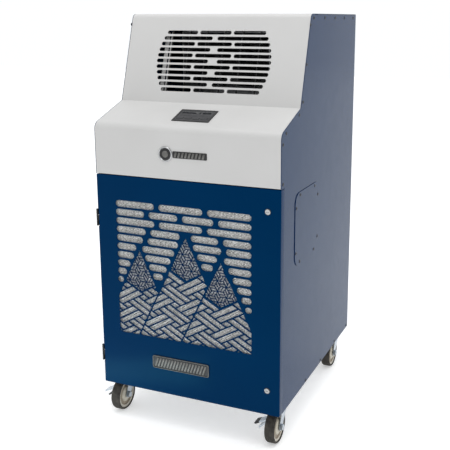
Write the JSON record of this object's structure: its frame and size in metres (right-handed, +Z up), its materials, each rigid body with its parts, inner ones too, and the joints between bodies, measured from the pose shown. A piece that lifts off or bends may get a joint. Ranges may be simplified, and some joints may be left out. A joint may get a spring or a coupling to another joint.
{
  "type": "portable dehumidifier",
  "caption": "Upright dehumidifier cabinet on swivel casters, with a pierced hinged door over its filter and a slotted air outlet above a sloping control deck.",
  "frame": {"origin": "centre of the footprint's box on the floor, 12.6 mm to the left of the cabinet's own centre line because the brake pedals stand out on that side", "axes": "+Z up, -Y towards the front with the door and the outlet, +X towards the side with the access cover"},
  "size_m": [0.6288, 0.7575, 1.2695],
  "materials": {
    "blue_paint": "glossy fine-textured powder coat, deep blue",
    "white_shell": "satin moulded shell, warm grey-white",
    "aluminium": "crumpled and finned aluminium",
    "chrome": "polished plate",
    "black_metal": "satin black",
    "black_plastic": "satin black",
    "key_grey": "matte dark grey",
    "display_window": "glossy black window",
    "zinc_plate": "bright bluish zinc plate",
    "tyre_rubber": "matte ribbed tread",
    "hub_plastic": "cream moulded hub",
    "galvanised_steel": "dull galvanised sheet",
    "black_paint": "satin black paint"
  },
  "bodies": {
    "cabinet": {"base_pan": "galvanised_steel", "left_side_panel": "blue_paint", "right_side_panel": "blue_paint", "right_access_cover": "blue_paint", "rear_panel": "blue_paint", "top_panel": "blue_paint", "upper_shroud": "white_shell", "outlet_guard": "black_metal", "hinge_upper_frame_leaf": "black_metal", "hinge_lower_frame_leaf": "black_metal", "hinge_upper_pin": "black_metal", "hinge_lower_pin": "black_metal", "control_bezel": "black_plastic", "display_window": "display_window", "badge_upper": "chrome", "caster_front_left_plate": "zinc_plate", "caster_front_right_plate": "zinc_plate", "caster_rear_left_plate": "zinc_plate", "caster_rear_right_plate": "zinc_plate", "blower_shelf": "galvanised_steel", "evaporator_coil": "aluminium", "condenser_coil": "aluminium", "drip_tray": "galvanised_steel", "compressor": "black_paint", "blower_housing": "galvanised_steel", "blower_motor": "black_paint", "electrical_box": "galvanised_steel", "cable_gland": "black_plastic", "drain_outlet": "black_plastic"},
    "door": {"door_panel": "blue_paint", "filter_frame": "aluminium", "filter_mesh": "aluminium", "badge_lower": "chrome", "hinge_upper_door_leaf": "black_metal", "hinge_lower_door_leaf": "black_metal"},
    "upper_latch": {"latch_upper": "chrome"},
    "lower_latch": {"latch_lower": "chrome"},
    "key_1": {"key_1": "key_grey"},
    "key_2": {"key_2": "key_grey"},
    "key_3": {"key_3": "key_grey"},
    "key_4": {"key_4": "key_grey"},
    "blower_rotor": {"blower_wheel": "black_metal"},
    "caster_front_left_swivel": {"caster_front_left_fork": "zinc_plate", "caster_front_left_axle": "zinc_plate"},
    "caster_front_left_roller": {"caster_front_left_wheel": "hub_plastic", "caster_front_left_tyre": "tyre_rubber"},
    "brake_left": {"brake_lever_left": "zinc_plate"},
    "caster_front_right_swivel": {"caster_front_right_fork": "zinc_plate", "caster_front_right_axle": "zinc_plate"},
    "caster_front_right_roller": {"caster_front_right_wheel": "hub_plastic", "caster_front_right_tyre": "tyre_rubber"},
    "brake_right": {"brake_lever_right": "zinc_plate"},
    "caster_rear_left_swivel": {"caster_rear_left_fork": "zinc_plate", "caster_rear_left_axle": "zinc_plate"},
    "caster_rear_left_roller": {"caster_rear_left_wheel": "hub_plastic", "caster_rear_left_tyre": "tyre_rubber"},
    "caster_rear_right_swivel": {"caster_rear_right_fork": "zinc_plate", "caster_rear_right_axle": "zinc_plate"},
    "caster_rear_right_roller": {"caster_rear_right_wheel": "hub_plastic", "caster_rear_right_tyre": "tyre_rubber"}
  },
  "joints": [
    {"name": "door_hinge", "type": "hinge", "parent": "cabinet", "child": "door", "pos_m": [-0.2909, -0.3655, 0.45], "axis": [0, 0, -1], "range_deg": [0, 110]},
    {"name": "upper_latch_turn", "type": "hinge", "parent": "door", "child": "upper_latch", "pos_m": [0.2736, -0.3675, 0.7296], "axis": [0, -1, 0], "range_deg": [0, 90]},
    {"name": "lower_latch_turn", "type": "hinge", "parent": "door", "child": "lower_latch", "pos_m": [0.2736, -0.3675, 0.1888], "axis": [0, -1, 0], "range_deg": [0, 90]},
    {"name": "key_1_press", "type": "slide", "parent": "cabinet", "child": "key_1", "axis": [0, 0.3258, -0.9454], "range_m": [0, 0.001], "stiffness_N_per_m": 600, "springref_m": -0.0005},
    {"name": "key_2_press", "type": "slide", "parent": "cabinet", "child": "key_2", "axis": [0, 0.3258, -0.9454], "range_m": [0, 0.001], "stiffness_N_per_m": 600, "springref_m": -0.0005},
    {"name": "key_3_press", "type": "slide", "parent": "cabinet", "child": "key_3", "axis": [0, 0.3258, -0.9454], "range_m": [0, 0.001], "stiffness_N_per_m": 600, "springref_m": -0.0005},
    {"name": "key_4_press", "type": "slide", "parent": "cabinet", "child": "key_4", "axis": [0, 0.3258, -0.9454], "range_m": [0, 0.001], "stiffness_N_per_m": 600, "springref_m": -0.0005},
    {"name": "blower_spin", "type": "hinge", "parent": "cabinet", "child": "blower_rotor", "pos_m": [0.0126, 0.1, 1.02], "axis": [1, 0, 0], "continuous": true},
    {"name": "caster_front_left_swivel_turn", "type": "hinge", "parent": "cabinet", "child": "caster_front_left_swivel", "pos_m": [-0.2539, -0.2815, 0.1], "axis": [0, 0, 1], "continuous": true},
    {"name": "caster_front_left_roll", "type": "hinge", "parent": "caster_front_left_swivel", "child": "caster_front_left_roller", "pos_m": [-0.2539, -0.3165, 0.051], "axis": [1, 0, 0], "continuous": true},
    {"name": "brake_left_press", "type": "hinge", "parent": "caster_front_left_swivel", "child": "brake_left", "pos_m": [-0.2779, -0.3165, 0.066], "axis": [0, -1, 0], "range_deg": [0, 12]},
    {"name": "caster_front_right_swivel_turn", "type": "hinge", "parent": "cabinet", "child": "caster_front_right_swivel", "pos_m": [0.2791, -0.2815, 0.1], "axis": [0, 0, 1], "continuous": true},
    {"name": "caster_front_right_roll", "type": "hinge", "parent": "caster_front_right_swivel", "child": "caster_front_right_roller", "pos_m": [0.2791, -0.3165, 0.051], "axis": [1, 0, 0], "continuous": true},
    {"name": "brake_right_press", "type": "hinge", "parent": "caster_front_right_swivel", "child": "brake_right", "pos_m": [0.2551, -0.3165, 0.066], "axis": [0, -1, 0], "range_deg": [0, 12]},
    {"name": "caster_rear_left_swivel_turn", "type": "hinge", "parent": "cabinet", "child": "caster_rear_left_swivel", "pos_m": [-0.2539, 0.28, 0.1], "axis": [0, 0, 1], "continuous": true},
    {"name": "caster_rear_left_roll", "type": "hinge", "parent": "caster_rear_left_swivel", "child": "caster_rear_left_roller", "pos_m": [-0.2539, 0.245, 0.051], "axis": [1, 0, 0], "continuous": true},
    {"name": "caster_rear_right_swivel_turn", "type": "hinge", "parent": "cabinet", "child": "caster_rear_right_swivel", "pos_m": [0.2791, 0.28, 0.1], "axis": [0, 0, 1], "continuous": true},
    {"name": "caster_rear_right_roll", "type": "hinge", "parent": "caster_rear_right_swivel", "child": "caster_rear_right_roller", "pos_m": [0.2791, 0.245, 0.051], "axis": [1, 0, 0], "continuous": true}
  ]
}
